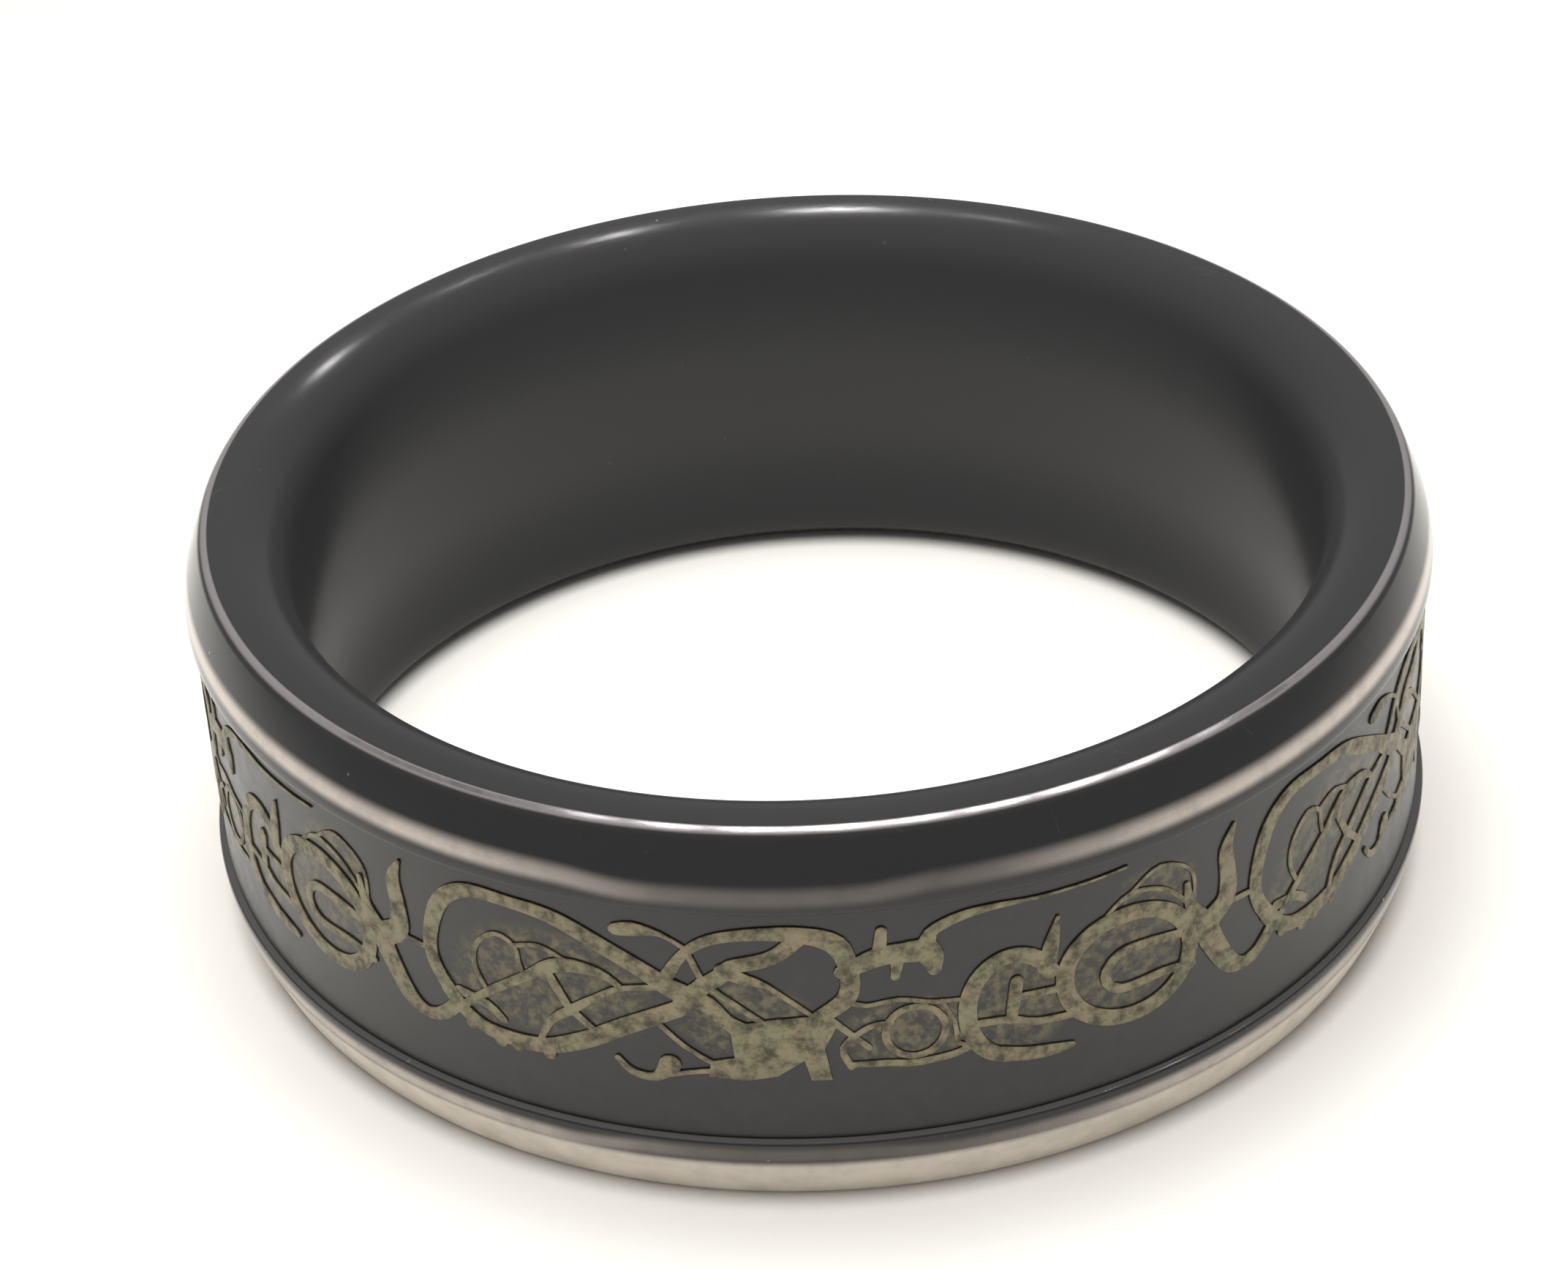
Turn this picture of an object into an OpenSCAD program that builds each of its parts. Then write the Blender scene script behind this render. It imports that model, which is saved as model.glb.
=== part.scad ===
// Wedding band of tungsten carbide with a black finish, lying on one of its ends.
// +Z runs along the bore, and z = 0 is the end face that it rests on. Millimetres.
// A black sleeve fills a channel ground round the outside of the band,
// and a thin pierced strip of gold scrollwork is wrapped round the sleeve.

/* [Band] */
// Diameter of the bore, which is the finger size
bore_d = 19.8; // [16:0.1:23]
// Width of the band along the finger
band_w = 8; // [7.8:0.1:9]
// Wall from the bore to the crest of the shoulders
wall = 2.02; // [2:0.02:2.4]

/* [Ends] */
// Radius that eases the bore into each end
comfort_r = 1.07; // [0.8:0.01:1.1]
// Slope of the ground flank, measured from the axis
flank_angle = 22; // [18:1:24]
// Radius of the shoulder's crest
crest_r = 2; // [1.6:0.1:2]
// Radius of the polished edge between end face and flank
edge_r = 0.12; // [0.06:0.02:0.16]

/* [Inlay] */
// Distance from each end to the channel
channel_in = 1.5; // [1.5:0.05:1.7]
// Depth of the channel under the crest
channel_depth = 0.62; // [0.5:0.02:0.7]
// Drop from the crest to the face of the sleeve
inlay_drop = 0.14; // [0.14:0.01:0.2]
// Chamfer on the sleeve's outer edges
inlay_chamfer = 0.1; // [0.04:0.02:0.16]
// Clearance round the sleeve
seat_gap = 0.02; // [0.01:0.01:0.04]

/* [Scroll strip] */
// Repeats of the scroll round the band
repeats = 5; // [3:1:5]
// Flat facets of the strip in each repeat
facets = 10; // [8:1:12]
// Turn of the first repeat from the front
scroll_turn = -35.25; // [-72:0.25:72]
// How far the scroll is drawn out over the front, as the angle it gains at the sides
scroll_spread = 3.7; // [0:0.1:4]
// Height of the scroll
scroll_h = 3.5; // [3:0.1:3.6]
// Rise of the scroll's middle over the middle of the band
scroll_rise = 0.45; // [0:0.05:0.45]
// Thickness of the strip
strip_t = 0.06; // [0.04:0.01:0.06]
// Clearance between sleeve and strip
strip_gap = 0.01; // [0.01:0.01:0.02]

/* [Hidden] */

$fn = 180;
bore_r = bore_d / 2;
crest = bore_r + wall;
floor_r = crest - channel_depth;
face_r = crest - inlay_drop;

// The scroll is charted flat, in millimetres, on a field of this size
chart_w = 15;
chart_h = 3.5;
strip_sides = repeats * facets;
strip_r = (face_r + strip_gap) / cos(180 / strip_sides);
chart_scale = [2 * PI * face_r / repeats / chart_w, scroll_h / chart_h];

// Arcs of the lower end, each as [centre, radius, first angle, last angle]
crest_arc = [[crest - crest_r, channel_in], crest_r, -flank_angle, 0];
flank_foot = on_arc(crest_arc, -flank_angle);
corner = [flank_foot.x - flank_foot.y * tan(flank_angle), 0];
edge_arc = [[corner.x - edge_r * tan(45 - flank_angle / 2), edge_r], edge_r, -90, -flank_angle];
comfort_arc = [[bore_r + comfort_r, comfort_r], comfort_r, 180, 270];
end_arcs = [comfort_arc, edge_arc, crest_arc];

// Point of an arc at an angle
function on_arc(arc, angle) = arc[0] + arc[1] * [cos(angle), sin(angle)];

// The same arc or point at the upper end
function flip_arc(arc) = [[arc[0].x, band_w - arc[0].y], arc[1], -arc[3], -arc[2]];
function flip_point(p) = [p.x, band_w - p.y];

// The slice between an arc and its centre
module arc_fill(arc) {
    far = 2 * arc[1];
    middle = (arc[2] + arc[3]) / 2;
    intersection() {
        translate(arc[0]) circle(arc[1]);
        polygon([
            arc[0],
            arc[0] + far * [cos(arc[2]), sin(arc[2])],
            arc[0] + far * [cos(middle), sin(middle)],
            arc[0] + far * [cos(arc[3]), sin(arc[3])]
        ]);
    }
}

// Section of the band: chords between the ends of the arcs, filled out to each arc
module band_section() {
    lower = [for (arc = end_arcs, angle = [arc[2], arc[3]]) on_arc(arc, angle)];
    last = len(lower) - 1;
    upper = [for (i = [last:-1:0]) flip_point(lower[i])];
    difference() {
        union() {
            polygon(concat(lower, upper));
            for (arc = end_arcs) {
                arc_fill(arc);
                arc_fill(flip_arc(arc));
            }
        }
        translate([floor_r, channel_in]) square([2 * channel_depth, band_w - 2 * channel_in]);
    }
}

// The ring itself, ground from one blank
module band() {
    color("#2f2e31") rotate_extrude() band_section();
}

// Black sleeve that fills the channel
module inlay() {
    inner = floor_r + seat_gap;
    low = channel_in + seat_gap;
    high = band_w - low;
    c = inlay_chamfer;
    color("#3b3b3d") rotate_extrude() polygon([
        [inner, low],
        [face_r - c, low],
        [face_r, low + c],
        [face_r, high - c],
        [face_r - c, high],
        [inner, high]
    ]);
}

// A strand is a table of rows: place along the strip, height over its middle, width.
// Point of a smooth curve from row b to row c, a fraction t of the way
function ease(a, b, c, d, t) =
    0.5 * (2 * b + (c - a) * t + (2 * a - 5 * b + 4 * c - d) * t * t
    + (3 * b - a - 3 * c + d) * t * t * t);

// The rows with steps - 1 more between each two
function eased(rows, steps) = let(last = len(rows) - 1) [
    for (i = [0:last - 1], k = [0:steps - 1])
        ease(rows[max(i - 1, 0)], rows[i], rows[i + 1], rows[min(i + 2, last)], k / steps),
    rows[last]
];

// Edge point of a strand beside row i, on side 1 or -1
function edge_point(rows, i, side) =
    let(
        a = rows[max(i - 1, 0)],
        b = rows[min(i + 1, len(rows) - 1)],
        along = [b.x - a.x, b.y - a.y] / norm([b.x - a.x, b.y - a.y])
    )
    [rows[i].x, rows[i].y] + side * rows[i].z / 2 * [-along.y, along.x];

module strand(table, steps = 1) {
    rows = eased(table, steps);
    last = len(rows) - 1;
    polygon([
        for (i = [0:last]) edge_point(rows, i, 1),
        for (i = [last:-1:0]) edge_point(rows, i, -1)
    ]);
}

// Round knot of a strand, at one row
module knot(row) {
    translate([row.x, row.y]) circle(d = row.z, $fn = 8);
}

// Straight thread between two rows
module thread(a, b) {
    hull() {
        knot(a);
        knot(b);
    }
}

module oval(centre, radii, tilt, width, sides) {
    translate(centre) rotate(tilt) difference() {
        scale(radii + [width, width] / 2) circle(1, $fn = sides);
        scale(radii - [width, width] / 2) circle(1, $fn = sides);
    }
}

// Pointed loop that starts the repeat, with the branch inside it
module big_loop() {
    strand([
        [4.6, 0.45, 0.34], [3.8, 0.95, 0.34], [2.8, 1.48, 0.32], [1.9, 1.62, 0.26], [1.05, 1.58, 0.3],
        [0.5, 1.1, 0.34], [0.22, 0.2, 0.3], [0.3, -0.4, 0.3], [0.75, -1.1, 0.34]
    ], 2);
    strand([
        [0.5, -0.8, 0.3], [0.75, -1.1, 0.3], [1.3, -1.42, 0.32], [2.3, -1.43, 0.34],
        [3.1, -1.1, 0.36], [3.9, -0.6, 0.36], [4.8, -0.1, 0.34]
    ], 2);
    for (scallop = [[0.95, -1.4, 0.26], [1.5, -1.6, 0.26]]) knot(scallop);
    strand([
        [0.85, -1, 0.16], [1.39, -0.51, 0.18], [2.16, 0.08, 0.2], [2.54, 0.37, 0.28],
        [2.92, 0.52, 0.3], [3.48, 0.48, 0.2], [3.83, 0.25, 0.12]
    ]);
    strand([
        [4.6, 0.35, 0.14], [3.83, 0.2, 0.12], [3.37, -0.1, 0.14], [2.92, -0.47, 0.2],
        [2.54, -0.8, 0.16], [2.3, -1.3, 0.12]
    ]);
    thread([2.5, 0.35, 0.2], [2.89, -0.42, 0.16]);
    thread([2.92, -0.45, 0.16], [3.4, -0.9, 0.14]);
}

// Crossing of the loop's arms, with the bud over it and the curl under it
module crossing() {
    strand([[4.3, 0.6, 0.3], [4.8, 0.3, 0.42], [5.3, 0.05, 0.36], [5.6, -0.3, 0.3], [6, -0.6, 0.4]]);
    strand([[4.8, -0.1, 0.3], [5.1, 0.3, 0.34], [5.75, 0.85, 0.3]]);
    strand([[3.85, 1.5, 0.26], [4.15, 1.55, 0.3], [4.6, 1.5, 0.1], [5.05, 1.2, 0.1]]);
    strand([[3.7, -1.35, 0.12], [3.95, -1.62, 0.16], [4.35, -1.66, 0.2], [4.6, -1.35, 0.4]]);
    strand([[4.35, -1.66, 0.12], [4.87, -1.5, 0.1], [5.42, -1.4, 0.12]]);
    strand([[4.28, -0.25, 0.1], [4.87, -0.91, 0.1], [5.42, -1.3, 0.1]]);
}

// Upper lobe that bends over from the crossing to the head
module lobe() {
    strand([
        [4.6, 0.5, 0.26], [4.95, 1.1, 0.2], [5.4, 1.45, 0.22], [6.1, 1.6, 0.26], [6.9, 1.58, 0.34],
        [7.45, 1.35, 0.4], [7.65, 0.8, 0.32], [7.6, 0.2, 0.34], [7.15, -0.2, 0.3]
    ], 2);
    strand([[5.6, 0.78, 0.3], [5.75, 0.9, 0.3], [6.4, 1.1, 0.3], [6.85, 1.5, 0.3]]);
    strand([[5.6, 0.8, 0.3], [6, 0.6, 0.24], [6.3, 0.49, 0.12], [7, -0.15, 0.1]]);
    thread([5.2, 0.55, 0.14], [6.3, -0.4, 0.12]);
}

// Head at the end of the lobe, with its ear, its jaw and the whisker over the rings
module head() {
    strand([[7.55, 0.75, 0.3], [8.1, 1, 0.4], [8.5, 1.05, 0.42], [8.95, 1, 0.5], [9.05, 0.6, 0.24]]);
    strand([[8.95, 1, 0.4], [9, 1.4, 0.24], [9.5, 1.65, 0.2], [10.1, 1.72, 0.14], [10.8, 1.7, 0.08]]);
    thread([8.15, 1.1, 0.25], [8.2, 1.55, 0.2]);
    thread([8.45, 0.95, 0.24], [8.4, 0.55, 0.16]);
}

// Broad body under the lobe, which ends in a claw
module body() {
    polygon([
        [5.25, -1.55], [5.3, -1.2], [5.7, -1.1], [5.65, -0.4], [6.3, -0.25], [7.25, -0.15], [7.4, -0.45],
        [7.2, -0.9], [7.3, -1.6], [6.95, -1.6], [6.85, -1.15], [6.4, -1.5], [5.9, -1.6]
    ]);
}

// Small ring between body and wheel, hung in a net of threads
module bead_ring() {
    oval([8.7, -0.69], [0.5, 0.54], 0, 0.14, 12);
    strand([[7.6, -1.3, 0.13], [8.2, -1.32, 0.15], [8.7, -1.38, 0.16], [9.4, -1.3, 0.15], [9.75, -1.1, 0.15]]);
    strand([[8.3, -0.45, 0.12], [7.93, -0.5, 0.12], [7.5, -0.9, 0.13], [7.62, -1.35, 0.13]]);
    thread([7.2, -0.15, 0.14], [7.93, -0.95, 0.12]);
}

// Open ring with spokes, and the leaf on its shoulder
module wheel() {
    strand([for (a = [30:18:264]) [10.35 + 0.78 * cos(a), -0.5 + 1.08 * sin(a), 0.32]]);
    strand([[10.1, -1.5, 0.3], [10.55, -1.64, 0.3], [11, -1.7, 0.26], [11.4, -1.72, 0.14]]);
    thread([10.43, 0, 0.24], [10.32, -0.8, 0.22]);
    thread([10.4, -0.35, 0.16], [11.35, -0.4, 0.16]);
    strand([[9.7, -0.75, 0.16], [10.3, -0.8, 0.16], [10.75, -0.98, 0.16], [11.45, -1.05, 0.16]]);
    strand([[10.95, 0.16, 0.34], [11.05, 0.64, 0.28], [11.17, 1.16, 0.08]]);
}

// Large ring with a hooked strand inside it
module coil() {
    oval([12.5, -0.37], [1.24, 1.1], -20, 0.34, 20);
    strand([
        [13.5, -0.15, 0.2], [12.8, -0.04, 0.2], [12.27, -0.08, 0.2], [12.02, -0.45, 0.2],
        [12.3, -0.83, 0.2], [13.16, -0.83, 0.18], [13.75, -0.94, 0.2]
    ], 2);
}

// Two-pronged fork, and the strand that swings under it to the next repeat
module fork() {
    strand([
        [14.68, 1.65, 0.08], [14.5, 1.2, 0.3], [14.55, 0.6, 0.36], [14.5, 0.1, 0.45], [14.1, -0.25, 0.5],
        [14.25, -0.75, 0.46], [14.6, -1.35, 0.4], [14.95, -1.55, 0.28], [15.3, -1.45, 0.28],
        [15.65, -1.1, 0.28]
    ], 2);
    strand([[13.65, 0.85, 0.12], [13.75, 0.3, 0.26], [14.1, -0.2, 0.4]]);
    thread([13.7, -0.45, 0.3], [14.1, -0.3, 0.3]);
    thread([14.5, 0, 0.12], [15.3, -0.05, 0.12]);
}

// Stands the motifs upright against the strip, with the chart's place x in the middle,
// and carries them out through its wall
module stand(start, x) {
    depth = band_w / 2;
    angle = start + x / chart_w * 360 / repeats;
    drawn_out = 1 + scroll_spread * PI / 180 * cos(angle);
    rotate([0, 0, angle + scroll_spread * sin(angle)])
        translate([0, -strip_r + depth / 2, band_w / 2 + scroll_rise])
            rotate([90, 0, 0]) linear_extrude(depth)
                scale([drawn_out * chart_scale.x, chart_scale.y]) translate([-x, 0]) children();
}

// One repeat of the scroll, from a starting angle
module repeat(start) {
    stand(start, 2.4) big_loop();
    stand(start, 4.7) crossing();
    stand(start, 6.3) lobe();
    stand(start, 8.6) head();
    stand(start, 6.3) body();
    stand(start, 8.6) bead_ring();
    stand(start, 10.5) wheel();
    stand(start, 12.6) coil();
    stand(start, 14.5) fork();
}

// Gold scroll strip, cut out of a thin tube
module scroll() {
    color("#b8a56f") intersection() {
        translate([0, 0, band_w / 2 + scroll_rise - scroll_h]) difference() {
            cylinder(2 * scroll_h, r = strip_r + strip_t, $fn = strip_sides);
            cylinder(4 * scroll_h, r = strip_r, center = true, $fn = strip_sides);
        }
        for (i = [0:repeats - 1]) repeat(scroll_turn + i * 360 / repeats);
    }
}

band();
inlay();
scroll();
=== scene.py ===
from math import cos, pi, radians, sin, tan

import bmesh
import bpy
from mathutils import Matrix, Vector
from mathutils.geometry import interpolate_bezier


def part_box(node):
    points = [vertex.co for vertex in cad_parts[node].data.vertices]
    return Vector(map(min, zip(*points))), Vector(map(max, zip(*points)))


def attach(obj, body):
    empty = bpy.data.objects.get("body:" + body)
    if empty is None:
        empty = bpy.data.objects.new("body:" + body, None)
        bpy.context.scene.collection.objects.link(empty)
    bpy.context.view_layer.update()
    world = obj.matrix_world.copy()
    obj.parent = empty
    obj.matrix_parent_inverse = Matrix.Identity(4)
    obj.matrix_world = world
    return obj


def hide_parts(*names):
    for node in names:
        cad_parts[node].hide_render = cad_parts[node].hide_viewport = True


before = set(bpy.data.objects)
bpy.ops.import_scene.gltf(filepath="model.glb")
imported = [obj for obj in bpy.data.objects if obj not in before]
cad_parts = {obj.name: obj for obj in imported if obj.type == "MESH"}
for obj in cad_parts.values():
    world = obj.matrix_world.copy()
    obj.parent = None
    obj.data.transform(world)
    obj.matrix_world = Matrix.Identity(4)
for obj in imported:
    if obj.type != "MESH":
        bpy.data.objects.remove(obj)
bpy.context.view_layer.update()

mm = 0.001

# Camera: it looks down on the front of the band from about a third of a right angle, held
# slightly tilted, at a little over three times the band's diameter.
PHOTO_WIDTH = 2144
PHOTO_HEIGHT = 1736
FOCAL_PIXELS = 5602
CENTRE_PIXEL = (1110.8, 883.9)
CAMERA_ELEVATION = radians(33.75)
CAMERA_DISTANCE = 80.25 * mm
CAMERA_ROLL = radians(3.1)
SENSOR_WIDTH = 36

camera_data = bpy.data.cameras.new("camera")
camera_data.sensor_width = SENSOR_WIDTH
camera_data.lens = FOCAL_PIXELS / PHOTO_WIDTH * SENSOR_WIDTH
camera_data.clip_start = 1 * mm
camera_data.clip_end = 20
camera = bpy.data.objects.new("camera", camera_data)
bpy.context.scene.collection.objects.link(camera)
bpy.context.scene.camera = camera

towards_camera = Vector((0, -cos(CAMERA_ELEVATION), sin(CAMERA_ELEVATION)))
level = (-towards_camera).to_track_quat("-Z", "Y").to_matrix().to_4x4()
roll = Matrix.Rotation(-CAMERA_ROLL, 4, "Z")
sight = Vector((
    (CENTRE_PIXEL[0] - PHOTO_WIDTH / 2) / FOCAL_PIXELS,
    (PHOTO_HEIGHT / 2 - CENTRE_PIXEL[1]) / FOCAL_PIXELS,
    -1,
))
aim = sight.rotation_difference(Vector((0, 0, -1))).to_matrix().to_4x4()
band_low, band_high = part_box("band")
band_middle = (band_low + band_high) / 2
camera.matrix_world = (
    Matrix.Translation(band_middle + CAMERA_DISTANCE * towards_camera) @ level @ roll @ aim
)

# Band: one blank of tungsten carbide, turned and polished, with a thin black coating. Along the
# crests, bare carbide is laid as a painted highlight; the edges are rubbed down to the carbide,
# which also paints in the highlight and reflection they catch. The sleeve's channel is ground into
# its outside.
WALL = 2.02 * mm
COMFORT_RADIUS = 1.07 * mm
FLANK_ANGLE = radians(22)
UPPER_EDGE_RADIUS = 0.3 * mm
LOWER_EDGE_RADIUS = 0.12 * mm
CHANNEL_IN = 1.5 * mm
CHANNEL_DEPTH = 0.62 * mm
CREST_BLEND = 0.34 * mm
LIP_RADIUS = 0.07 * mm
TURNS = 360
SAME_POINT = 0.0005 * mm

crest_radius = band_high.x
band_width = band_high.z - band_low.z
bore_radius = crest_radius - WALL


def lathe(name, corners, body="root"):
    """Turns a closed section about the bore's axis. A corner is (radius, height, rounding,
    segments), where rounding is how far along both of its edges the corner is rounded."""
    shape = bmesh.new()
    ring = [shape.verts.new((radius, 0, height)) for radius, height, _, _ in corners]
    shape.faces.new(ring)
    for vertex, (_, _, rounding, segments) in zip(ring, corners):
        if rounding:
            bmesh.ops.bevel(
                shape, geom=[vertex], offset=rounding, offset_type="OFFSET", segments=segments,
                profile=0.5, affect="VERTICES", material=-1,
            )
    bmesh.ops.delete(shape, geom=shape.faces[:], context="FACES_ONLY")
    bmesh.ops.spin(
        shape, geom=shape.verts[:] + shape.edges[:], axis=(0, 0, 1), cent=(0, 0, 0),
        angle=2 * pi, steps=TURNS, use_merge=True,
    )
    bmesh.ops.remove_doubles(shape, verts=shape.verts, dist=SAME_POINT)
    bmesh.ops.recalc_face_normals(shape, faces=shape.faces)
    for face in shape.faces:
        face.smooth = True
    mesh = bpy.data.meshes.new(name)
    shape.to_mesh(mesh)
    shape.free()
    piece = bpy.data.objects.new(name, mesh)
    bpy.context.scene.collection.objects.link(piece)
    even = piece.modifiers.new("even_normals", "WEIGHTED_NORMAL")
    even.mode = "FACE_AREA"
    even.weight = 100
    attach(piece, body)
    return piece


def end_corners(edge_radius):
    """Section corners of half the band, from the bore out to the channel."""
    crest_corner = CHANNEL_IN - CREST_BLEND - LIP_RADIUS
    flank_foot = crest_radius - crest_corner * tan(FLANK_ANGLE)
    edge_rounding = edge_radius * tan(pi / 4 - FLANK_ANGLE / 2)
    floor = crest_radius - CHANNEL_DEPTH
    return [
        (bore_radius, 0, COMFORT_RADIUS, 14),
        (flank_foot, 0, edge_rounding, 8),
        (crest_radius, crest_corner, CREST_BLEND, 10),
        (crest_radius, CHANNEL_IN, LIP_RADIUS, 4),
        (floor, CHANNEL_IN, 0, 0),
    ]


lower = end_corners(LOWER_EDGE_RADIUS)
upper = [(radius, band_width - height, rounding, segments)
         for radius, height, rounding, segments in reversed(end_corners(UPPER_EDGE_RADIUS))]
ring_band = lathe("ring_band", lower + upper)
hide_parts("band")


def add_node(tree, kind, sockets=None, **settings):
    """Adds a shader node with its settings, and with a value or a link for each socket."""
    node = tree.nodes.new(kind)
    for setting, value in settings.items():
        setattr(node, setting, value)
    for socket, value in (sockets or {}).items():
        if isinstance(value, bpy.types.NodeSocket):
            tree.links.new(value, node.inputs[socket])
        else:
            node.inputs[socket].default_value = value
    return node


def blank_material(name):
    """A material with its shader, and the object's coordinates in millimetres."""
    material = bpy.data.materials.new(name)
    material.use_nodes = True
    tree = material.node_tree
    shader = tree.nodes["Principled BSDF"]
    place = add_node(tree, "ShaderNodeTexCoord").outputs["Object"]
    scaled = add_node(tree, "ShaderNodeVectorMath", {0: place, "Scale": 1 / mm}, operation="SCALE")
    return material, tree, shader, scaled.outputs["Vector"]


def math_node(tree, operation, first, second=0.0):
    node = add_node(tree, "ShaderNodeMath", {0: first, 1: second}, operation=operation)
    return node.outputs[0]


def times(tree, *values):
    """All the values multiplied together."""
    product = values[0]
    for value in values[1:]:
        product = math_node(tree, "MULTIPLY", product, value)
    return product


def plus(tree, *values):
    """All the values added together."""
    total = values[0]
    for value in values[1:]:
        total = math_node(tree, "ADD", total, value)
    return total


def ramp(tree, value, low, high, start=0.0, end=1.0):
    """Value mapped smoothly from low..high to start..end."""
    node = add_node(
        tree, "ShaderNodeMapRange",
        {"Value": value, "From Min": low, "From Max": high, "To Min": start, "To Max": end},
        interpolation_type="SMOOTHSTEP",
    )
    return node.outputs["Result"]


def noise(tree, vector, scale, detail=3.0, roughness=0.5):
    node = add_node(
        tree, "ShaderNodeTexNoise",
        {"Vector": vector, "Scale": scale, "Detail": detail, "Roughness": roughness},
    )
    return node.outputs["Fac"]


def blend(tree, share, first, second):
    node = add_node(tree, "ShaderNodeMix", {0: share, 6: first, 7: second}, data_type="RGBA")
    return node.outputs[2]


def on_band(tree, place):
    """Turn from the front, distance from the axis and height of each place."""
    part = add_node(tree, "ShaderNodeSeparateXYZ", {0: place}).outputs
    turn = math_node(tree, "ARCTAN2", part["X"], times(tree, part["Y"], -1.0))
    flat = add_node(tree, "ShaderNodeCombineXYZ", {0: part["X"], 1: part["Y"], 2: 0.0}).outputs[0]
    radius = add_node(tree, "ShaderNodeVectorMath", {0: flat}, operation="LENGTH").outputs["Value"]
    return turn, radius, part["Z"]


def drawn_round(tree, turn, radius, height, per_turn):
    """Coordinates that follow the band: per_turn is how far one radian round it takes them, so
    a small value draws a pattern out into lines."""
    arc = times(tree, turn, per_turn)
    return add_node(tree, "ShaderNodeCombineXYZ", {0: arc, 1: radius, 2: height}).outputs[0]


# The finish of the band: black coating; bare carbide laid along the crests as a painted highlight;
# rubbed carbide at the outer edges of the end faces, also painting in the line they catch; pale
# rubbed metal on the lower flank, also a painted reflection of the pale floor; and painted light
# that lifts the shade on the small step down to the sleeve
COATING = (0.0232, 0.0232, 0.0246, 1)
CARBIDE = (0.52, 0.465, 0.425, 1)
RUBBED_METAL_AND_REFLECTION = (0.85, 0.775, 0.68, 1)
EDGE_METAL_AND_HIGHLIGHT = (0.5, 0.47, 0.49, 1)
STEP_PAINTED_LIGHT = (0.108, 0.104, 0.101, 1)

# The painted highlight along the crests dips towards the middle of the band this far left of the
# front
DIP_PLACE = 1.4

# Where the finish changes, in millimetres of radius, of height or of distance to one side. Each
# is: from, to, and the values there unless they are 0 and 1
CREST_DIP = (1.8, 3.4, 2.87, 2.98)
LOWER_CREST = (0.5, -0.5, 0.0, 0.09)
CREST_LINE = (0.04, 0.26, 1.0, 0.0)
CREST_TO_SIDE = (1.8, 7.0, 0.2, 1.0)
EDGE_INSIDE = (11.33, 11.38)
EDGE_OUTSIDE = (11.5, 11.43)
NEAR_END = (3.8, 3.9)
EDGE_TO_SIDE = (7.5, 10.0, 1.0, 0.6)
LOWER_FLANK = (-2.9, -3.15)
FLANK_FOOT = (11.1, 11.24)
OUT_OF_BORE = (10.6, 11.3, 0.12, 1.0)
STEP_OUTSIDE = (11.68, 11.76)
STEP_INSIDE = (2.53, 2.5)
FINE_GRAIN = (10.7, 10.95)
BORE_WALL = (10.3, 9.95)
BORE_ROUGHNESS = (0.6, 2.8, 0.14, 0.3)
LAND_ROUGHNESS = (11.1, 10.95, 0.0, 0.05)
ROUNDING_ROUGHNESS = (10.95, 10.7, 0.0, 0.11)
DRAWN_LINES = (11.0, 11.2, 0.0, 0.3)

# How the patterns are read. Each is: from, to, and the values there unless they are 0 and 1
PATCHY_CREST = (0.3, 0.6, 0.8, 1.0)
PATCHY_FLANK = (0.3, 0.7, 0.8, 1.0)
COATING_ROUGHNESS = (0.3, 0.7, 0.09, 0.12)
HAIR = (0.0, 0.003, 1.0, 0.0)
HAIR_GROUPS = (0.6, 0.66)
NICK = (0.02, 0.045, 1.0, 0.0)

# How fine a pattern is each way, and how much each pattern or kind of wear adds
HAIR_STRETCH = (1.0, 1.6, 0.35)
LINES_STRETCH = 0.02
GRAIN_ROUGHNESS = 0.02
WEAR_AND_HIGHLIGHT_ROUGHNESS = 0.08
EDGE_ROUGHNESS = 0.04
FLANK_ROUGHNESS = 0.28
HAIR_SHARE = 0.25
MARK_SHARE = 0.5
MARK_HEIGHT = -1.5

coated, tree, shader, place = blank_material("black_tungsten")
turn, radius, height = on_band(tree, place)
above_middle = math_node(tree, "SUBTRACT", height, band_width / mm / 2)
from_middle = math_node(tree, "ABSOLUTE", above_middle)
patches = noise(tree, place, scale=1.3, detail=4.0, roughness=0.6)
fine = noise(tree, place, scale=9.0, detail=3.0, roughness=0.6)
drawn = drawn_round(tree, turn, radius, height, LINES_STRETCH * crest_radius / mm)
lines = noise(tree, drawn, scale=14.0, detail=4.0, roughness=0.7)

# Bare metal runs along the crests, most on the two sides, as a painted highlight where they catch
# the light.
# The outer edge of each end face is rubbed bare, and its metal also paints in the bright line the
# edge catches. The lower flank is rubbed bare, and its pale metal also paints in a reflection of
# the pale floor
side = add_node(tree, "ShaderNodeSeparateXYZ", {0: place}).outputs["X"]
to_side = math_node(tree, "ABSOLUTE", side)
off_front = math_node(tree, "ABSOLUTE", plus(tree, side, DIP_PLACE))
crest_middle = math_node(tree, "SUBTRACT", ramp(tree, off_front, *CREST_DIP),
                         ramp(tree, above_middle, *LOWER_CREST))
off_crest = math_node(tree, "ABSOLUTE", math_node(tree, "SUBTRACT", from_middle, crest_middle))
# Painted highlight: bright bare metal along the crests, where they catch the light
crest_highlight = times(tree, ramp(tree, off_crest, *CREST_LINE), ramp(tree, to_side, *CREST_TO_SIDE),
                   ramp(tree, patches, *PATCHY_CREST))
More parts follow.
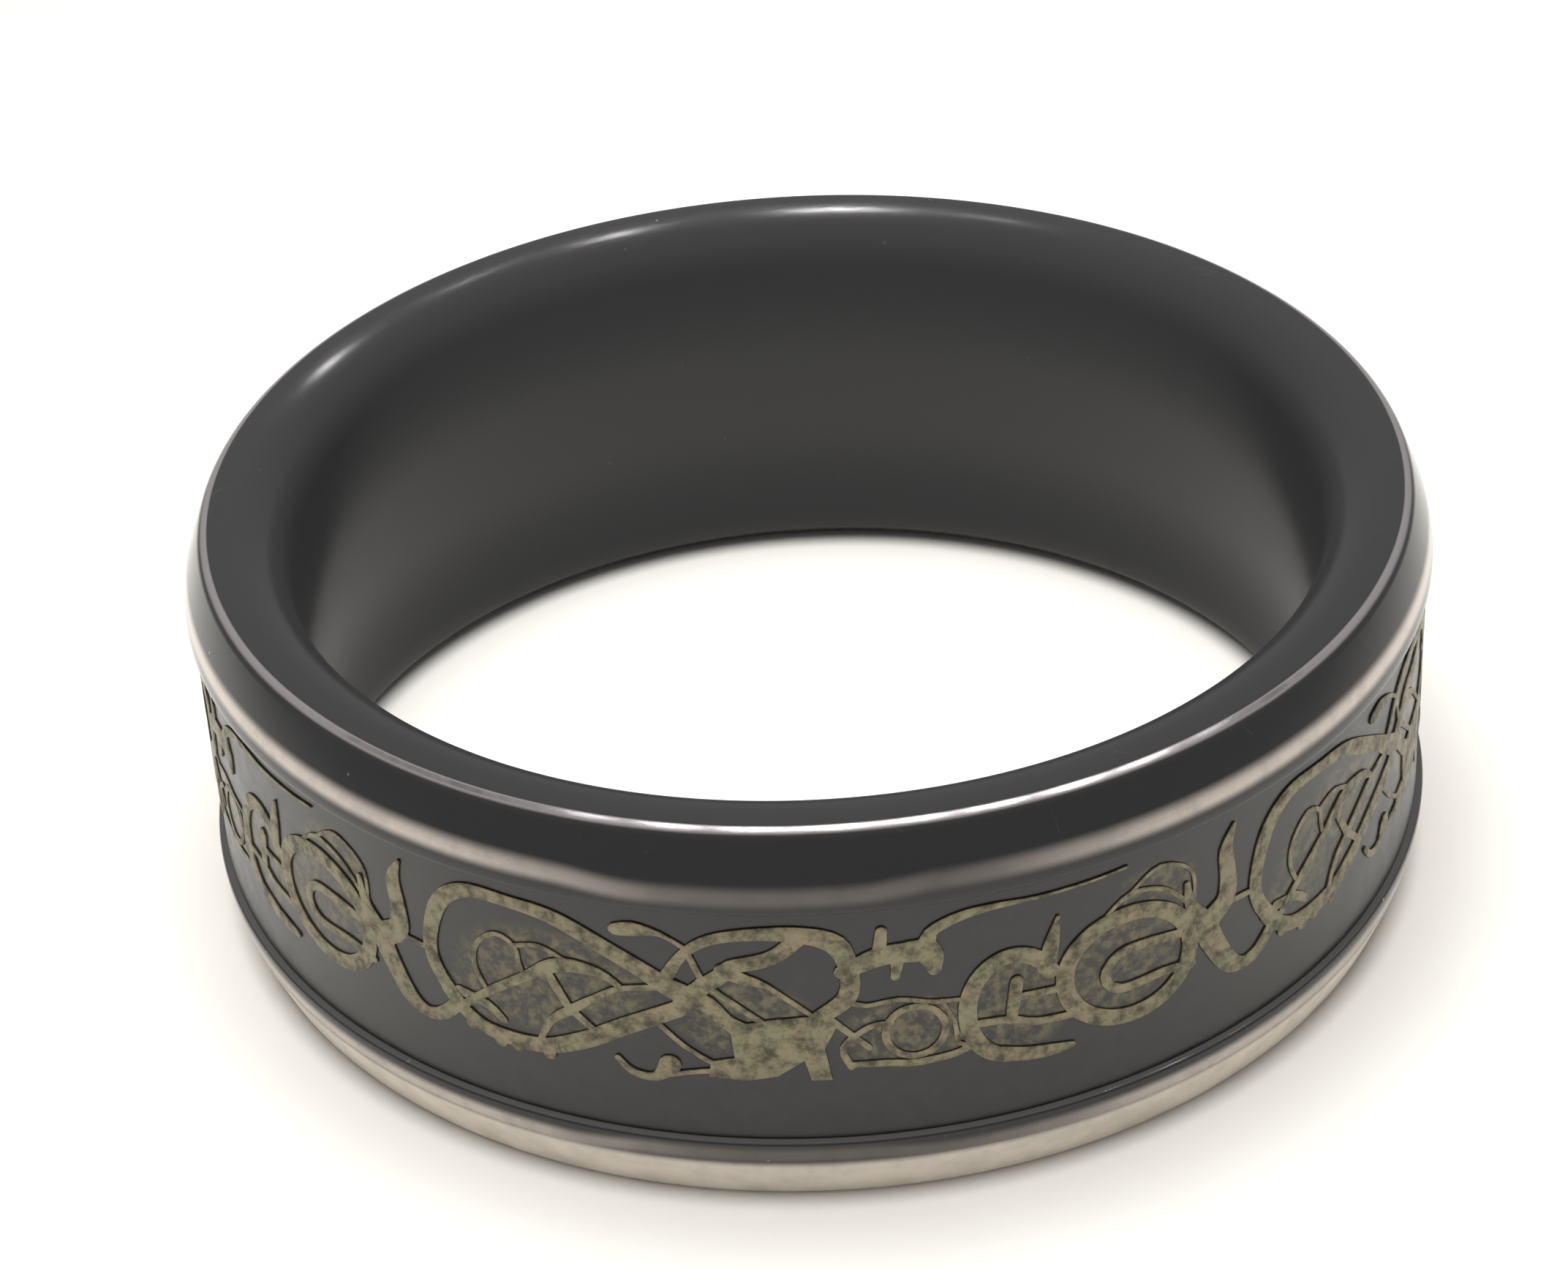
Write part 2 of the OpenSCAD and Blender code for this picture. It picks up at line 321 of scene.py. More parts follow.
# Bare metal at the outer edge of each end face: rubbed wear that also paints in the bright line the
# edge catches
edge_line = times(tree, ramp(tree, radius, *EDGE_INSIDE), ramp(tree, radius, *EDGE_OUTSIDE),
                  ramp(tree, from_middle, *NEAR_END))
edge_wear_and_highlight = times(tree, edge_line, ramp(tree, patches, *PATCHY_CREST),
                  ramp(tree, to_side, *EDGE_TO_SIDE))
flank_foot = ramp(tree, radius, *FLANK_FOOT)
# The lower flank: rubbed bare, its pale metal also a painted reflection of the pale floor
low_rub_and_reflection = times(tree, ramp(tree, above_middle, *LOWER_FLANK), flank_foot)
wear_and_highlights = times(tree, math_node(tree, "MAXIMUM", crest_highlight, edge_wear_and_highlight), flank_foot)
wear_and_highlights = math_node(tree, "MAXIMUM", wear_and_highlights, times(tree, low_rub_and_reflection, ramp(tree, patches, *PATCHY_FLANK)))

# Hair scratches in a few groups, and nicks, fewer in the bore than outside
stretched = add_node(tree, "ShaderNodeVectorMath", {0: place, 1: HAIR_STRETCH},
                     operation="MULTIPLY")
hair_cells = add_node(
    tree, "ShaderNodeTexVoronoi",
    {"Vector": stretched.outputs[0], "Scale": 0.55, "Randomness": 1.0},
    feature="DISTANCE_TO_EDGE",
)
hairs = times(tree, ramp(tree, hair_cells.outputs["Distance"], *HAIR),
              ramp(tree, noise(tree, place, scale=0.9, detail=2.0), *HAIR_GROUPS))
specks = add_node(tree, "ShaderNodeTexVoronoi", {"Vector": place, "Scale": 1.1, "Randomness": 1.0})
nicks = ramp(tree, specks.outputs["Distance"], *NICK)
marks = times(tree, math_node(tree, "MAXIMUM", times(tree, hairs, HAIR_SHARE), nicks),
              ramp(tree, radius, *OUT_OF_BORE))
bare = math_node(tree, "MAXIMUM", wear_and_highlights, times(tree, marks, MARK_SHARE))

# The bare metal: carbide, with lighter metal on the edge line and the lower flank that paints in
# the edge's highlight and the pale floor's reflection
metal = blend(tree, low_rub_and_reflection, blend(tree, edge_line, CARBIDE, EDGE_METAL_AND_HIGHLIGHT), RUBBED_METAL_AND_REFLECTION)
# Painted light: the small step down to the sleeve is given a lighter colour that lifts the shade
# falling on it
step = times(tree, ramp(tree, radius, *STEP_OUTSIDE), ramp(tree, from_middle, *STEP_INSIDE))
dark = blend(tree, step, COATING, STEP_PAINTED_LIGHT)
tree.links.new(blend(tree, bare, dark, metal), shader.inputs["Base Color"])
tree.links.new(bare, shader.inputs["Metallic"])

roughness = plus(tree, ramp(tree, patches, *COATING_ROUGHNESS), times(tree, fine, GRAIN_ROUGHNESS))
roughness = plus(
    tree,
    times(tree, roughness, ramp(tree, radius, *FINE_GRAIN)),
    times(tree, ramp(tree, radius, *BORE_WALL), ramp(tree, from_middle, *BORE_ROUGHNESS)),
    ramp(tree, radius, *LAND_ROUGHNESS),
    ramp(tree, radius, *ROUNDING_ROUGHNESS),
    times(tree, wear_and_highlights, WEAR_AND_HIGHLIGHT_ROUGHNESS),
    times(tree, edge_line, EDGE_ROUGHNESS),
    times(tree, low_rub_and_reflection, FLANK_ROUGHNESS),
)
tree.links.new(roughness, shader.inputs["Roughness"])

lines = times(tree, lines, ramp(tree, radius, *DRAWN_LINES))
grain = plus(tree, lines, times(tree, marks, MARK_HEIGHT))
bump = add_node(tree, "ShaderNodeBump",
                {"Strength": 0.2, "Distance": 0.003 * mm, "Height": grain})
tree.links.new(bump.outputs["Normal"], shader.inputs["Normal"])

# Turned round its axis and polished, it spreads a glint across itself more than along
cross = add_node(tree, "ShaderNodeVectorMath", {0: (0.0, 0.0, 1.0), 1: place},
                 operation="CROSS_PRODUCT")
along = add_node(tree, "ShaderNodeVectorMath", {0: cross.outputs[0]}, operation="NORMALIZE")
tree.links.new(along.outputs[0], shader.inputs["Tangent"])
shader.inputs["Anisotropic"].default_value = 1.0
shader.inputs["Anisotropic Rotation"].default_value = 0.25
shader.inputs["Specular IOR Level"].default_value = 0.34
ring_band.data.materials.append(coated)

# Sleeve: a black resin ring cast into the channel and turned down to just below the crests,
# with a satin face and softened edges.
SLEEVE_ROUNDING = 0.03 * mm
SEAT_GAP = 0.02 * mm
RESIN = (0.009, 0.009, 0.0095, 1)
GREYED_RESIN = (0.0155, 0.0147, 0.0145, 1)
FILM = (0.125, 0.114, 0.08, 1)
REPEATS = 5
CHART_WIDTH = 15
SCROLL_TURN = radians(-35.25)
SCROLL_SPREAD = radians(3.7)
SCROLL_MIDDLE = band_width / 2 + 0.45 * mm
# Rows are: a patch of film's place along the repeat, its height over the scroll's middle, and
# its reach each way, in millimetres
FILM_PATCHES = [
    (2.6, 0.0, 1.9, 1.25),
    (1.3, -0.6, 0.8, 0.7),
    (5.9, -0.3, 1.2, 0.9),
    (8.6, -0.7, 1.2, 0.8),
    (10.5, -0.5, 0.95, 1.15),
    (12.5, -0.3, 1.2, 1.1),
    (13.0, 1.0, 0.9, 0.6),
]
FILM_FADE = (1.1, 0.75)
FILM_BREAKS = (0.38, 0.64, 0.1, 1.0)
FILM_SHARE = 0.95
GREYED = (0.35, 0.65)
SATIN_ROUGHNESS = (0.3, 0.7, 0.29, 0.37)
TURNED_STRETCH = 0.1

sleeve_low, sleeve_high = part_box("inlay")
sleeve_face = sleeve_high.x
sleeve_inner = crest_radius - CHANNEL_DEPTH + SEAT_GAP
black_sleeve = lathe("black_sleeve", [
    (sleeve_inner, sleeve_low.z, 0, 0),
    (sleeve_face, sleeve_low.z, SLEEVE_ROUNDING, 5),
    (sleeve_face, sleeve_high.z, SLEEVE_ROUNDING, 5),
    (sleeve_inner, sleeve_high.z, 0, 0),
])
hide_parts("inlay")

resin, tree, shader, place = blank_material("black_resin")
turn, radius, height = on_band(tree, place)
clouds = noise(tree, place, scale=2.2, detail=4.0, roughness=0.6)
colour = blend(tree, ramp(tree, clouds, *GREYED), RESIN, GREYED_RESIN)

# A thin film of the gilding has spread over the resin between the scroll's finer threads. The
# chart's coordinates are worked back from the turn round the band
gained = times(tree, math_node(tree, "SINE", turn), SCROLL_SPREAD)
even_turn = math_node(tree, "SUBTRACT", math_node(tree, "SUBTRACT", turn, gained), SCROLL_TURN)
share = math_node(tree, "FRACT", times(tree, even_turn, REPEATS / (2 * pi)))
chart = add_node(tree, "ShaderNodeCombineXYZ", {
    0: times(tree, share, CHART_WIDTH),
    1: math_node(tree, "SUBTRACT", height, SCROLL_MIDDLE / mm),
    2: 0.0,
}).outputs[0]
film = 0.0
for along, up, reach_along, reach_up in FILM_PATCHES:
    offset = add_node(tree, "ShaderNodeVectorMath", {0: chart, 1: (along, up, 0.0)},
                      operation="SUBTRACT")
    shrunk = add_node(tree, "ShaderNodeVectorMath",
                      {0: offset.outputs[0], 1: (reach_along, reach_up, 1.0)}, operation="DIVIDE")
    far = add_node(tree, "ShaderNodeVectorMath", {0: shrunk.outputs[0]}, operation="LENGTH")
    film = math_node(tree, "MAXIMUM", ramp(tree, far.outputs["Value"], *FILM_FADE), film)
broken = ramp(tree, noise(tree, place, scale=5.0, detail=4.0, roughness=0.65), *FILM_BREAKS)
film = times(tree, film, broken, FILM_SHARE)
tree.links.new(blend(tree, film, colour, FILM), shader.inputs["Base Color"])
tree.links.new(film, shader.inputs["Metallic"])
tree.links.new(ramp(tree, clouds, *SATIN_ROUGHNESS), shader.inputs["Roughness"])
drawn = drawn_round(tree, turn, radius, height, TURNED_STRETCH * sleeve_face / mm)
turned = noise(tree, drawn, scale=9.0, detail=3.0, roughness=0.6)
bump = add_node(tree, "ShaderNodeBump",
                {"Strength": 0.1, "Distance": 0.004 * mm, "Height": turned})
tree.links.new(bump.outputs["Normal"], shader.inputs["Normal"])
black_sleeve.data.materials.append(resin)

# Scroll: an interlace cut from thin gilt steel and wrapped round the sleeve, five repeats of one
# design. Each strand has rounded edges, and the fine threads lie lower than the broad ones.
STRIP_FOOT = 0.008
BROAD = 0.03
FINE = 0.022
SHOULDER = 0.013
CURVE_STEP = 0.14
CLOSED_WITHIN = 0.01
END_TURNS = (30, 60, 82)
SAME_CHART_POINT = 0.002
RIM_ANGLE = 1.0
FLAT_ANGLE = radians(0.5)
CREASE_ANGLE = radians(40)
SCORE = 0.5
ON_THE_CUT = 0.0001


def oval(middle, half_sizes, width, start, stop, step, lean=0.0):
    """Rows of a strand that runs round an oval, between two turns in degrees."""
    path = []
    for degrees in range(start, stop, step):
        across = half_sizes[0] * cos(radians(degrees))
        up = half_sizes[1] * sin(radians(degrees))
        path.append((
            middle[0] + across * cos(lean) + up * sin(lean),
            middle[1] - across * sin(lean) + up * cos(lean),
            width,
        ))
    return path


# Rows are: place along the repeat, height over its middle, width, in millimetres
big_loop = [
    [(4.6, 0.45, 0.34), (3.8, 0.95, 0.34), (2.8, 1.48, 0.32), (1.9, 1.62, 0.26), (1.05, 1.58, 0.3),
     (0.5, 1.1, 0.34), (0.22, 0.2, 0.3), (0.3, -0.4, 0.3), (0.75, -1.1, 0.34)],
    [(0.5, -0.8, 0.3), (0.75, -1.1, 0.3), (1.3, -1.42, 0.32), (2.3, -1.43, 0.34),
     (3.1, -1.1, 0.36), (3.9, -0.6, 0.36), (4.8, -0.1, 0.34)],
    [(0.85, -1, 0.16), (1.39, -0.51, 0.18), (2.16, 0.08, 0.2), (2.54, 0.37, 0.28),
     (2.92, 0.52, 0.3), (3.48, 0.48, 0.2), (3.83, 0.25, 0.12)],
    [(4.6, 0.35, 0.14), (3.83, 0.2, 0.12), (3.37, -0.1, 0.14), (2.92, -0.47, 0.2),
     (2.54, -0.8, 0.16), (2.3, -1.3, 0.12)],
    [(2.5, 0.35, 0.2), (2.89, -0.42, 0.16)],
    [(2.92, -0.45, 0.16), (3.4, -0.9, 0.14)],
]
loop_net = [
    [(2.1, 0.05, 0.1), (2.02, 0.3, 0.1), (1.95, 0.67, 0.1), (1.6, 0.82, 0.1), (1.22, 0.48, 0.1),
     (1.12, -0.03, 0.1), (1.3, -0.47, 0.1)],
    [(1.95, 0.67, 0.1), (2.43, 0.8, 0.1), (2.9, 0.6, 0.1)],
    [(0.75, -0.75, 0.22), (1.3, -0.85, 0.2), (1.6, -1.1, 0.16)],
]
scallops = [(0.95, -1.4, 0.26), (1.5, -1.6, 0.26), (1.85, -1.6, 0.24), (2.45, -1.58, 0.24)]
crossing = [
    [(4.3, 0.6, 0.3), (4.8, 0.3, 0.42), (5.3, 0.05, 0.36), (5.6, -0.3, 0.3), (6, -0.6, 0.4)],
    [(4.8, -0.1, 0.3), (5.1, 0.3, 0.34), (5.75, 0.85, 0.3)],
    [(3.85, 1.5, 0.26), (4.15, 1.55, 0.3), (4.6, 1.5, 0.1), (5.05, 1.2, 0.1)],
    [(3.7, -1.35, 0.12), (3.95, -1.62, 0.16), (4.35, -1.66, 0.2), (4.6, -1.35, 0.4)],
    [(4.35, -1.66, 0.12), (4.87, -1.5, 0.1), (5.42, -1.4, 0.12)],
    [(4.28, -0.25, 0.1), (4.87, -0.91, 0.1), (5.42, -1.3, 0.1)],
    [(5.05, 1.1, 0.12), (5.25, 0.56, 0.12)],
]
lobe = [
    [(4.6, 0.5, 0.26), (4.95, 1.1, 0.2), (5.4, 1.45, 0.22), (6.1, 1.6, 0.26), (6.9, 1.58, 0.34),
     (7.45, 1.35, 0.4), (7.65, 0.8, 0.32), (7.6, 0.2, 0.34), (7.15, -0.2, 0.3)],
    [(5.6, 0.78, 0.3), (5.75, 0.9, 0.3), (6.4, 1.1, 0.3), (6.85, 1.5, 0.3)],
    [(5.6, 0.8, 0.3), (6, 0.6, 0.24), (6.3, 0.49, 0.12), (7, -0.15, 0.1)],
    [(5.2, 0.55, 0.14), (6.3, -0.4, 0.12)],
]
head = [
    [(7.55, 0.75, 0.3), (8.1, 1, 0.4), (8.5, 1.05, 0.42), (8.95, 1, 0.5), (9.05, 0.6, 0.24)],
    [(8.95, 1, 0.4), (9, 1.4, 0.24), (9.5, 1.65, 0.2), (10.1, 1.72, 0.14), (10.8, 1.7, 0.08),
     (11.8, 1.72, 0.06), (12.45, 1.76, 0.06)],
    [(8.15, 1.1, 0.25), (8.2, 1.55, 0.2)],
    [(8.45, 0.95, 0.24), (8.4, 0.55, 0.16)],
]
body_outline = [
    (5.25, -1.55), (5.3, -1.2), (5.7, -1.1), (5.65, -0.4), (6.3, -0.25), (7.25, -0.15),
    (7.4, -0.45), (7.2, -0.9), (7.3, -1.6), (6.95, -1.6), (6.85, -1.15), (6.4, -1.5), (5.9, -1.6),
]
bead_ring = [
    oval((8.7, -0.69), (0.5, 0.54), 0.14, 0, 361, 30),
    [(7.6, -1.3, 0.13), (8.2, -1.32, 0.15), (8.7, -1.38, 0.16), (9.4, -1.3, 0.15),
     (9.75, -1.1, 0.15)],
    [(8.3, -0.45, 0.12), (7.93, -0.5, 0.12), (7.5, -0.9, 0.13), (7.62, -1.35, 0.13)],
    [(7.2, -0.15, 0.14), (7.93, -0.95, 0.12)],
    [(9.15, -0.1, 0.08), (9.35, -0.6, 0.08), (9.42, -1.1, 0.1), (9.7, -1.2, 0.1)],
    [(7.6, 0.1, 0.12), (7.9, -0.02, 0.1), (8.45, 0.04, 0.1), (9, -0.1, 0.1), (9.5, -0.15, 0.1)],
]
wheel = [
    oval((10.35, -0.5), (0.78, 1.08), 0.32, 30, 265, 18),
    [(10.1, -1.5, 0.3), (10.55, -1.64, 0.3), (11, -1.7, 0.26), (11.4, -1.72, 0.14)],
    [(10.43, 0, 0.24), (10.32, -0.8, 0.22)],
    [(10.4, -0.35, 0.16), (11.35, -0.4, 0.16)],
    [(9.7, -0.75, 0.16), (10.3, -0.8, 0.16), (10.75, -0.98, 0.16), (11.45, -1.05, 0.16)],
    [(10.95, 0.16, 0.34), (11.05, 0.64, 0.28), (11.17, 1.16, 0.08)],
]
coil = [
    oval((12.5, -0.37), (1.24, 1.1), 0.34, 0, 361, 18, lean=radians(20)),
    [(13.5, -0.15, 0.2), (12.8, -0.04, 0.2), (12.27, -0.08, 0.2), (12.02, -0.45, 0.2),
     (12.3, -0.83, 0.2), (13.16, -0.83, 0.18), (13.75, -0.94, 0.2)],
]
coil_net = [
    [(11.9, 0.7, 0.08), (12.5, 1.15, 0.1), (13.2, 0.95, 0.1), (13.7, 0.4, 0.1)],
    [(12.5, 1.15, 0.08), (13.1, 1.5, 0.08), (13.75, 1.1, 0.08), (13.8, 0.3, 0.08)],
]
fork = [
    [(14.68, 1.65, 0.08), (14.5, 1.2, 0.3), (14.55, 0.6, 0.36), (14.5, 0.1, 0.45),
     (14.1, -0.25, 0.5), (14.25, -0.75, 0.46), (14.6, -1.35, 0.4), (14.95, -1.55, 0.28),
     (15.3, -1.45, 0.28), (15.65, -1.1, 0.28)],
    [(13.65, 0.85, 0.12), (13.75, 0.3, 0.26), (14.1, -0.2, 0.4)],
    [(13.7, -0.45, 0.3), (14.1, -0.3, 0.3)],
    [(14.5, 0, 0.12), (15.3, -0.05, 0.12)],
]
broad_strands = big_loop + crossing + lobe + head + wheel + coil + fork
fine_strands = loop_net + bead_ring + coil_net


def eased(rows):
    """The rows of a strand, with more between them on a smooth curve."""
    points = [Vector(row) for row in rows]
    closed = (points[0] - points[-1]).length < CLOSED_WITHIN
    before = points[-2] if closed else points[0]
    after = points[1] if closed else points[-1]
    points = [before] + points + [after]
    path = []
    for a, b, c, d in zip(points, points[1:], points[2:], points[3:]):
        count = max(2, round((c - b).xy.length / CURVE_STEP) + 1)
        path += interpolate_bezier(b, b + (c - a) / 6, c - (d - b) / 6, c, count)[:-1]
    path.append(points[-2])
    return path, closed


def round_end(rung, way):
    """Rungs that round a strand off beyond one of its ends."""
    spot, ahead, half = rung
    return [(spot + way * half * sin(radians(turn)) * ahead, ahead, half * cos(radians(turn)))
            for turn in END_TURNS]


def strand_slab(name, rows, height):
    """A strand cut flat out of the chart: a ribbon filled in between rungs across the strand,
    thickened, and softened along its upper edges."""
    path, closed = eased(rows)
    last = len(path) - 1
    rungs = []
    for i, row in enumerate(path):
        ahead = (path[min(i + 1, last)] - path[max(i - 1, 0)]).xy
        if closed and i in (0, last):
            ahead = (path[1] - path[-2]).xy
        rungs.append((row.xy, ahead.normalized(), row.z / 2))
    if not closed:
        rungs = round_end(rungs[0], -1)[::-1] + rungs + round_end(rungs[-1], 1)

    shape = bmesh.new()
    edges = []
    for spot, ahead, half in rungs:
        side = half * Vector((-ahead.y, ahead.x))
        ends = [shape.verts.new((*(spot + side), 0)), shape.verts.new((*(spot - side), 0))]
        edges.append(shape.edges.new(ends))
    for rung, following in zip(edges, edges[1:]):
        bmesh.ops.contextual_create(shape, geom=[rung, following])
    return slab(shape, name, height)


def slab(shape, name, height):
    """A flat shape thickened upwards, with its upper edges softened."""
    bmesh.ops.remove_doubles(shape, verts=shape.verts, dist=SAME_CHART_POINT)
    bmesh.ops.recalc_face_normals(shape, faces=shape.faces)
    grown = bmesh.ops.extrude_face_region(shape, geom=shape.faces[:], use_keep_orig=True)
    lifted = [item for item in grown["geom"] if isinstance(item, bmesh.types.BMVert)]
    bmesh.ops.translate(shape, verts=lifted, vec=(0, 0, height))
    bmesh.ops.recalc_face_normals(shape, faces=shape.faces)
    rim = [edge for edge in shape.edges
           if edge.verts[0].co.z > 0 and edge.verts[1].co.z > 0
           and edge.is_manifold and edge.calc_face_angle() > RIM_ANGLE]
    bmesh.ops.bevel(
        shape, geom=rim, offset=SHOULDER, offset_type="OFFSET", segments=2, profile=0.5,
        affect="EDGES", material=-1, clamp_overlap=False,
    )
    mesh = bpy.data.meshes.new(name)
    shape.to_mesh(mesh)
    shape.free()
    return bpy.data.objects.new(name, mesh)


slabs = [strand_slab("strand", rows, BROAD) for rows in broad_strands]
slabs += [strand_slab("thread", rows, FINE) for rows in fine_strands]
slabs += [
    strand_slab("strand", [(x - CHART_WIDTH, y, width) for x, y, width in rows], BROAD)
    for rows in fork if max(row[0] for row in rows) > CHART_WIDTH
]
for x, y, size in scallops:
    dot = bmesh.new()
    bmesh.ops.create_circle(dot, cap_ends=True, segments=20, radius=size / 2,
                            matrix=Matrix.Translation((x, y, 0)))
    slabs.append(slab(dot, "scallop", BROAD))
outline = bmesh.new()
outline.faces.new([outline.verts.new((x, y, 0)) for x, y in body_outline])
slabs.append(slab(outline, "body", BROAD))

# The slabs are joined into one cut sheet
loose = bpy.data.collections.new("loose_strands")
for part in slabs[1:]:
    loose.objects.link(part)
sheet = slabs[0]
bpy.context.scene.collection.objects.link(sheet)
bpy.context.scene.collection.children.link(loose)
union = sheet.modifiers.new("union", "BOOLEAN")
union.operation = "UNION"
union.operand_type = "COLLECTION"
union.collection = loose
union.solver = "MANIFOLD"
solved = sheet.evaluated_get(bpy.context.evaluated_depsgraph_get())
cut = bmesh.new()
cut.from_mesh(solved.to_mesh())
solved.to_mesh_clear()
for part in slabs:
    bpy.data.objects.remove(part)
bpy.data.collections.remove(loose)

# One repeat is trimmed to its ends and scored so that it bends, then wrapped round five times
bmesh.ops.dissolve_limit(cut, angle_limit=FLAT_ANGLE, verts=cut.verts, edges=cut.edges)
scores = round(CHART_WIDTH / SCORE)
for i in range(scores + 1):
    bmesh.ops.bisect_plane(
        cut, geom=cut.verts[:] + cut.edges[:] + cut.faces[:], dist=ON_THE_CUT,
        plane_co=(i * SCORE, 0, 0), plane_no=(1, 0, 0),
        clear_inner=i == 0, clear_outer=i == scores,
    )
bmesh.ops.triangulate(cut, faces=cut.faces)
flat_repeat = bpy.data.meshes.new("flat_repeat")
cut.to_mesh(flat_repeat)
cut.free()

wrapped = bmesh.new()
for repeat in range(REPEATS):
    start = len(wrapped.verts)
    wrapped.from_mesh(flat_repeat)
    wrapped.verts.ensure_lookup_table()
    for vertex in wrapped.verts[start:]:
        along, up, out = vertex.co
        share = (repeat + along / CHART_WIDTH) / REPEATS
        even_turn = SCROLL_TURN + 2 * pi * share
        turn = even_turn + SCROLL_SPREAD * sin(even_turn)
        reach = sleeve_face + (STRIP_FOOT + out) * mm
        vertex.co = (reach * sin(turn), -reach * cos(turn), SCROLL_MIDDLE + up * mm)
bpy.data.meshes.remove(flat_repeat)
bmesh.ops.remove_doubles(wrapped, verts=wrapped.verts, dist=SAME_POINT)
bmesh.ops.recalc_face_normals(wrapped, faces=wrapped.faces)
for face in wrapped.faces:
    face.smooth = True
for edge in wrapped.edges:
    edge.smooth = edge.is_manifold and edge.calc_face_angle() < CREASE_ANGLE
scroll_mesh = bpy.data.meshes.new("gold_scroll")
wrapped.to_mesh(scroll_mesh)
wrapped.free()
gold_scroll = bpy.data.objects.new("gold_scroll", scroll_mesh)
bpy.context.scene.collection.objects.link(gold_scroll)
even = gold_scroll.modifiers.new("even_normals", "WEIGHTED_NORMAL")
even.keep_sharp = True
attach(gold_scroll, "root")
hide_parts("scroll")

# The gilding is dull, a little greenish in places, and dark where it has tarnished
GILT = (0.232, 0.192, 0.131, 1)
GREENISH_GILT = (0.2, 0.193, 0.123, 1)
TARNISH = (0.07, 0.066, 0.05, 1)
GRIME = (0.1, 0.092, 0.07, 1)
GREENISH = (0.35, 0.65)
CLEAN = (0.3, 0.62)
GRIMY = (0.3, 0.5, 0.3, 0.0)
GILT_ROUGHNESS = (0.3, 0.7, 0.56, 0.42)

gilt, tree, shader, place = blank_material("gilt_strip")
patches = noise(tree, place, scale=1.6, detail=3.0, roughness=0.6)
mottle = noise(tree, place, scale=3.6, detail=5.0, roughness=0.7)
grain = noise(tree, place, scale=16.0, detail=3.0, roughness=0.7)
colour = blend(tree, ramp(tree, patches, *GREENISH), GILT, GREENISH_GILT)
colour = blend(tree, ramp(tree, mottle, *CLEAN), TARNISH, colour)
colour = blend(tree, ramp(tree, grain, *GRIMY), colour, GRIME)
tree.links.new(colour, shader.inputs["Base Color"])
shader.inputs["Metallic"].default_value = 0.85
tree.links.new(ramp(tree, mottle, *GILT_ROUGHNESS), shader.inputs["Roughness"])
bump = add_node(tree, "ShaderNodeBump", {"Strength": 0.35, "Distance": 0.008 * mm, "Height": grain})
tree.links.new(bump.outputs["Normal"], shader.inputs["Normal"])
gold_scroll.data.materials.append(gilt)

# Studio: a plain pale floor under an even pale dome, a soft box over the band and a few small
# snooted lamps for its glints.
FLOOR_RADIUS = 3
PAPER = (0.9, 0.885, 0.85, 1)
PAPER_FIBRES = (0.93, 0.92, 0.89, 1)
SKY_COLOUR = (1.0, 0.99, 0.98, 1)
SKY_STRENGTH = 0.32
SOFT_BOX_PLACE = (-0.002, 0.002, 0.055)
SOFT_BOX_WIDTH = 0.07
SOFT_BOX_POWER = 0.068
SOFT_BOX_COLOUR = (1.0, 0.985, 0.96)

floor_shape = bmesh.new()
bmesh.ops.create_circle(floor_shape, cap_ends=True, segments=96, radius=FLOOR_RADIUS)
floor_mesh = bpy.data.meshes.new("floor")
floor_shape.to_mesh(floor_mesh)
floor_shape.free()
floor = bpy.data.objects.new("floor", floor_mesh)
bpy.context.scene.collection.objects.link(floor)
paper, tree, shader, place = blank_material("pale_floor")
fibres = noise(tree, place, scale=0.4, detail=4.0, roughness=0.6)
tree.links.new(blend(tree, fibres, PAPER, PAPER_FIBRES), shader.inputs["Base Color"])
shader.inputs["Roughness"].default_value = 0.9
shader.inputs["Specular IOR Level"].default_value = 0.0
floor_mesh.materials.append(paper)

world = bpy.data.worlds.new("studio")
bpy.context.scene.world = world
world.use_nodes = True
sky = world.node_tree.nodes["Background"]
sky.inputs["Color"].default_value = SKY_COLOUR
sky.inputs["Strength"].default_value = SKY_STRENGTH

# The soft box over the band lights the floor and is kept out of the band's reflections
box_data = bpy.data.lights.new("soft_box", "AREA")
box_data.shape = "DISK"
box_data.size = SOFT_BOX_WIDTH
box_data.energy = SOFT_BOX_POWER
box_data.color = SOFT_BOX_COLOUR
soft_box = bpy.data.objects.new("soft_box", box_data)
soft_box.location = SOFT_BOX_PLACE
soft_box.rotation_euler = soft_box.location.to_track_quat("Z", "Y").to_euler()
soft_box.visible_glossy = False
soft_box.visible_camera = False
bpy.context.scene.collection.objects.link(soft_box)

